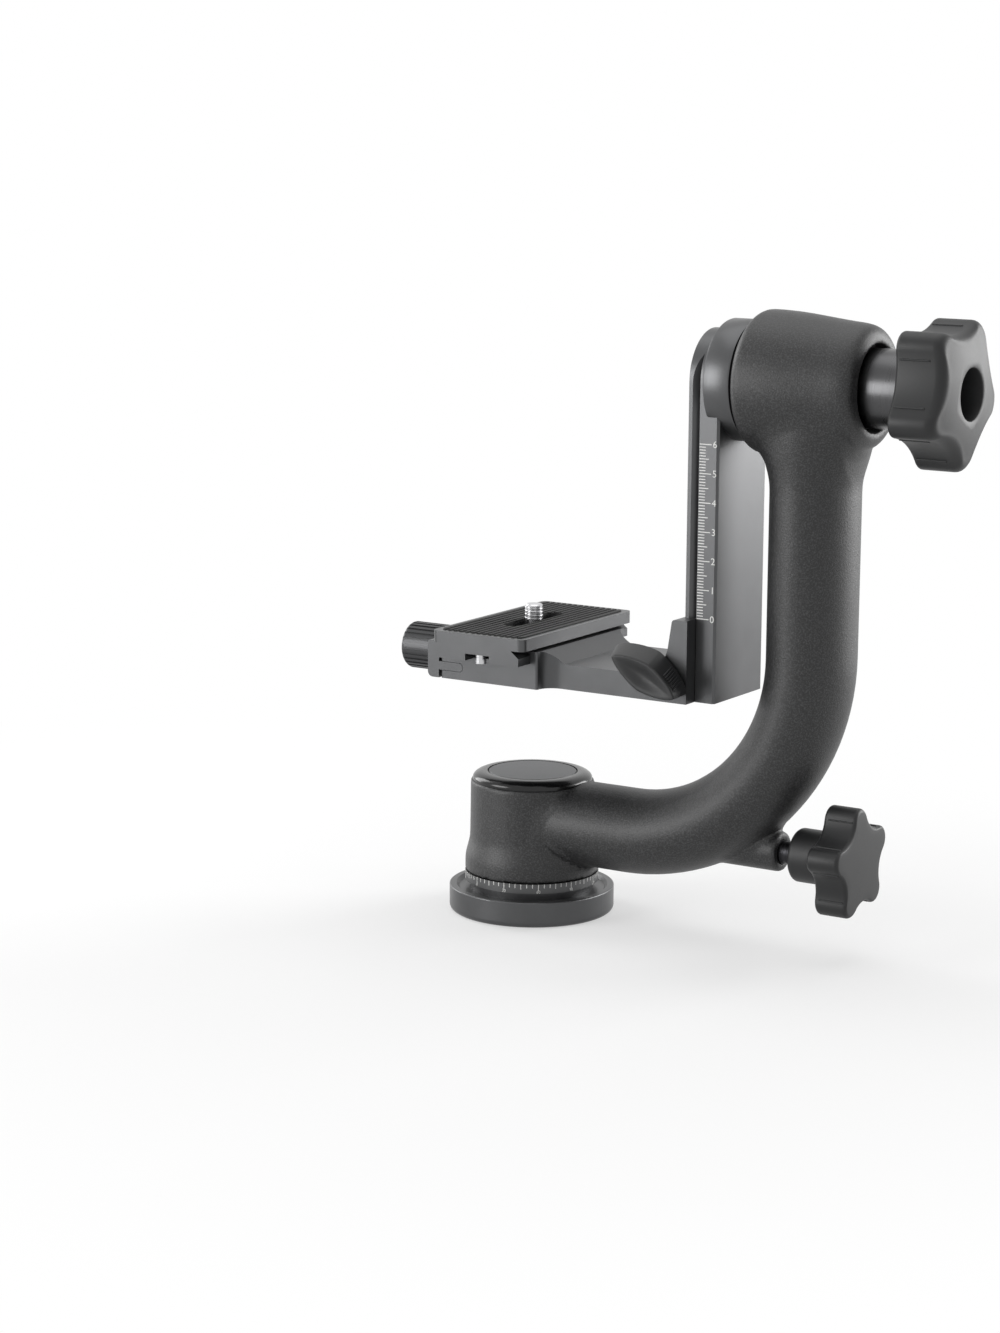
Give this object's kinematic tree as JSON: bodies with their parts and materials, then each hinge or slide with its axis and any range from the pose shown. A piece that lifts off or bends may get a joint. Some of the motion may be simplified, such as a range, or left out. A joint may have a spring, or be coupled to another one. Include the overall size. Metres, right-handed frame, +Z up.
{
  "type": "gimbal tripod head",
  "caption": "Gimbal tripod head: a curved arm pans on a round base and carries a tilting rail with a height-adjustable quick-release clamp for long lenses.",
  "frame": {"origin": "centre of the base's underside, where the tripod's screw enters, on the pan axis", "axes": "+Z up along the pan axis, +X from the pan axis to the rising side of the arm, Y along the lens (the degree scale and the height-lock knob face -Y)"},
  "size_m": [0.2207, 0.075, 0.2235],
  "materials": {
    "cast_charcoal": "fine textured powder coat, dark charcoal",
    "black_anodised": "satin black anodised",
    "ring_black": "black anodised with white engraved degree marks",
    "gloss_black": "gloss black",
    "cap_disc_grey": "plain satin dark grey disc",
    "knob_black": "satin moulded, black",
    "knurled_black": "straight-knurled, black anodised",
    "rubber_black": "ribbed rubber",
    "bright_steel": "turned and ground",
    "screw_black": "blackened steel",
    "chrome": "polished",
    "brass": "machined",
    "white_acetal": "machined acetal"
  },
  "bodies": {
    "base": {"base_plate": "black_anodised", "degree_ring": "ring_black", "pan_spindle": "bright_steel", "spindle_screws": "screw_black", "pan_washer": "bright_steel", "pan_nut": "bright_steel"},
    "arm": {"arm": "cast_charcoal", "cap_ring": "gloss_black", "cap_disc": "cap_disc_grey", "pan_bearing_lower": "bright_steel", "pan_bearing_upper": "bright_steel", "tilt_bearing_inner": "bright_steel", "tilt_bearing_outer": "bright_steel", "friction_disc": "white_acetal"},
    "pan_brake": {"pan_push_rod": "bright_steel", "pan_brake_shoe": "brass"},
    "pan_lock": {"pan_lock_knob": "knob_black", "pan_lock_stud": "screw_black"},
    "cradle": {"tilt_hub": "black_anodised", "thrust_ring": "chrome", "rail": "black_anodised", "rail_screws": "screw_black", "rail_stop_pin": "bright_steel"},
    "tilt_brake": {"pressure_washer": "bright_steel"},
    "tilt_lock": {"tilt_lock_knob": "knob_black", "tilt_lock_stud": "bright_steel"},
    "platform": {"bracket": "black_anodised"},
    "height_brake": {"height_jaw": "black_anodised", "height_screw": "bright_steel"},
    "height_lock": {"height_lock_knob": "knob_black"},
    "jaw": {"clamp_jaw": "black_anodised"},
    "clamp_handle": {"clamp_knob": "knurled_black", "clamp_screw": "bright_steel"},
    "plate": {"plate": "black_anodised", "plate_pad": "rubber_black", "stop_pins": "bright_steel"},
    "camera_screw": {"camera_screw": "bright_steel"}
  },
  "joints": [
    {"name": "pan", "type": "hinge", "parent": "base", "child": "arm", "pos_m": [0, 0, 0], "axis": [0, 0, 1], "continuous": true},
    {"name": "pan_lock_travel", "type": "slide", "parent": "arm", "child": "pan_brake", "axis": [1, 0, 0], "range_m": [0, 0.0008]},
    {"name": "pan_lock_turn", "type": "hinge", "parent": "pan_brake", "child": "pan_lock", "pos_m": [0.12, 0, 0.0352], "axis": [1, 0, 0], "range_deg": [0, 232]},
    {"name": "tilt", "type": "hinge", "parent": "arm", "child": "cradle", "pos_m": [0, 0, 0.1981], "axis": [1, 0, 0], "continuous": true},
    {"name": "tilt_lock_travel", "type": "slide", "parent": "cradle", "child": "tilt_brake", "axis": [1, 0, 0], "range_m": [0, 0.0008]},
    {"name": "tilt_lock_turn", "type": "hinge", "parent": "tilt_brake", "child": "tilt_lock", "pos_m": [0.15, 0, 0.1981], "axis": [1, 0, 0], "range_deg": [0, 232]},
    {"name": "height", "type": "slide", "parent": "cradle", "child": "platform", "axis": [0, 0, 1], "range_m": [0, 0.06]},
    {"name": "height_lock_travel", "type": "slide", "parent": "platform", "child": "height_brake", "axis": [0, 1, 0], "range_m": [0, 0.0008]},
    {"name": "height_lock_turn", "type": "hinge", "parent": "platform", "child": "height_lock", "pos_m": [0.065, -0.028, 0.0981], "axis": [0, -1, 0], "range_deg": [0, 362]},
    {"name": "jaw_travel", "type": "slide", "parent": "platform", "child": "jaw", "axis": [-1, 0, 0], "range_m": [0, 0.004]},
    {"name": "clamp_turn", "type": "hinge", "parent": "jaw", "child": "clamp_handle", "pos_m": [-0.04, 0, 0.09255], "axis": [-1, 0, 0], "range_deg": [0, 1446]},
    {"name": "plate_shift", "type": "slide", "parent": "platform", "child": "plate", "axis": [0, 1, 0], "range_m": [-0.003, 0.003]},
    {"name": "camera_screw_turn", "type": "hinge", "parent": "plate", "child": "camera_screw", "pos_m": [0, 0, 0.105], "axis": [0, 0, 1], "continuous": true}
  ],
  "couplings": [
    {"joint": "pan_lock_turn", "follows": "pan_lock_travel", "rad_per_m": 5026.5},
    {"joint": "tilt_lock_turn", "follows": "tilt_lock_travel", "rad_per_m": 5026.5},
    {"joint": "height_lock_turn", "follows": "height_lock_travel", "rad_per_m": 7854},
    {"joint": "clamp_turn", "follows": "jaw_travel", "rad_per_m": 6283.2}
  ]
}
